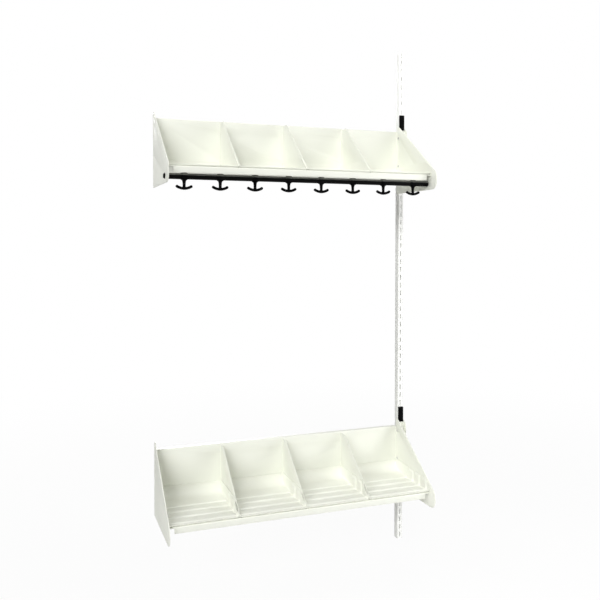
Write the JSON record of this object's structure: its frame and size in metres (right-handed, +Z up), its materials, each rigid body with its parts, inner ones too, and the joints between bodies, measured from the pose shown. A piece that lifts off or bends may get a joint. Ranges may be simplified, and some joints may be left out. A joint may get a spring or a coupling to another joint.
{
  "type": "cloakroom wall section",
  "caption": "Wall-hung cloakroom section: a slotted rail at its right end carries a divided hat shelf with double coat hooks on a tube, and a divided shoe shelf with ribbed liners below.",
  "frame": {"origin": "on the rail's front face, midway between its two wall holes", "axes": "+Z up along the rail, +Y into the wall, +X to the right along the wall, away from the shelves"},
  "size_m": [1.018, 0.32, 1.984],
  "materials": {
    "white_paint": "satin powder coat",
    "rail_paint": "satin powder coat",
    "black_paint": "satin",
    "black_plastic": "fine matt",
    "liner_plastic": "satin",
    "screw_steel": "zinc"
  },
  "bodies": {
    "section": {"wall_rail": "rail_paint", "hook_tube": "black_paint", "left_tube_cap": "black_plastic", "right_tube_cap": "black_plastic", "upper_left_plate": "white_paint", "upper_right_plate": "white_paint", "upper_tray": "white_paint", "upper_divider_1": "white_paint", "upper_divider_2": "white_paint", "upper_divider_3": "white_paint", "upper_rail_bracket": "white_paint", "upper_bracket_screws": "screw_steel", "lower_left_plate": "white_paint", "lower_right_plate": "white_paint", "lower_tray": "white_paint", "lower_divider_1": "white_paint", "lower_divider_2": "white_paint", "lower_divider_3": "white_paint", "lower_rail_bracket": "white_paint", "lower_bracket_screws": "screw_steel"},
    "upper_liner_1": {"upper_liner_1": "liner_plastic"},
    "upper_liner_2": {"upper_liner_2": "liner_plastic"},
    "upper_liner_3": {"upper_liner_3": "liner_plastic"},
    "upper_liner_4": {"upper_liner_4": "liner_plastic"},
    "upper_lock_clip": {"upper_lock_clip": "black_plastic"},
    "lower_liner_1": {"lower_liner_1": "liner_plastic"},
    "lower_liner_2": {"lower_liner_2": "liner_plastic"},
    "lower_liner_3": {"lower_liner_3": "liner_plastic"},
    "lower_liner_4": {"lower_liner_4": "liner_plastic"},
    "lower_lock_clip": {"lower_lock_clip": "black_plastic"},
    "coat_hook_1": {"coat_hook_1": "black_plastic"},
    "coat_hook_2": {"coat_hook_2": "black_plastic"},
    "coat_hook_3": {"coat_hook_3": "black_plastic"},
    "coat_hook_4": {"coat_hook_4": "black_plastic"},
    "coat_hook_5": {"coat_hook_5": "black_plastic"},
    "coat_hook_6": {"coat_hook_6": "black_plastic"},
    "coat_hook_7": {"coat_hook_7": "black_plastic"},
    "coat_hook_8": {"coat_hook_8": "black_plastic"}
  },
  "joints": [
    {"name": "upper_liner_1_pull_out", "type": "slide", "parent": "section", "child": "upper_liner_1", "axis": [0, -1, 0], "range_m": [0, 0.12]},
    {"name": "upper_liner_2_pull_out", "type": "slide", "parent": "section", "child": "upper_liner_2", "axis": [0, -1, 0], "range_m": [0, 0.12]},
    {"name": "upper_liner_3_pull_out", "type": "slide", "parent": "section", "child": "upper_liner_3", "axis": [0, -1, 0], "range_m": [0, 0.12]},
    {"name": "upper_liner_4_pull_out", "type": "slide", "parent": "section", "child": "upper_liner_4", "axis": [0, -1, 0], "range_m": [0, 0.12]},
    {"name": "upper_lock_clip_pull_off", "type": "slide", "parent": "section", "child": "upper_lock_clip", "axis": [0, -1, 0], "range_m": [0, 0.03]},
    {"name": "lower_liner_1_pull_out", "type": "slide", "parent": "section", "child": "lower_liner_1", "axis": [0, -1, 0], "range_m": [0, 0.12]},
    {"name": "lower_liner_2_pull_out", "type": "slide", "parent": "section", "child": "lower_liner_2", "axis": [0, -1, 0], "range_m": [0, 0.12]},
    {"name": "lower_liner_3_pull_out", "type": "slide", "parent": "section", "child": "lower_liner_3", "axis": [0, -1, 0], "range_m": [0, 0.12]},
    {"name": "lower_liner_4_pull_out", "type": "slide", "parent": "section", "child": "lower_liner_4", "axis": [0, -1, 0], "range_m": [0, 0.12]},
    {"name": "lower_lock_clip_pull_off", "type": "slide", "parent": "section", "child": "lower_lock_clip", "axis": [0, -1, 0], "range_m": [0, 0.03]},
    {"name": "coat_hook_1_slide", "type": "slide", "parent": "section", "child": "coat_hook_1", "axis": [1, 0, 0], "range_m": [-0.03, 0.03]},
    {"name": "coat_hook_2_slide", "type": "slide", "parent": "section", "child": "coat_hook_2", "axis": [1, 0, 0], "range_m": [-0.03, 0.03]},
    {"name": "coat_hook_3_slide", "type": "slide", "parent": "section", "child": "coat_hook_3", "axis": [1, 0, 0], "range_m": [-0.03, 0.03]},
    {"name": "coat_hook_4_slide", "type": "slide", "parent": "section", "child": "coat_hook_4", "axis": [1, 0, 0], "range_m": [-0.03, 0.03]},
    {"name": "coat_hook_5_slide", "type": "slide", "parent": "section", "child": "coat_hook_5", "axis": [1, 0, 0], "range_m": [-0.03, 0.03]},
    {"name": "coat_hook_6_slide", "type": "slide", "parent": "section", "child": "coat_hook_6", "axis": [1, 0, 0], "range_m": [-0.03, 0.03]},
    {"name": "coat_hook_7_slide", "type": "slide", "parent": "section", "child": "coat_hook_7", "axis": [1, 0, 0], "range_m": [-0.03, 0.03]},
    {"name": "coat_hook_8_slide", "type": "slide", "parent": "section", "child": "coat_hook_8", "axis": [1, 0, 0], "range_m": [-0.03, 0.03]}
  ]
}
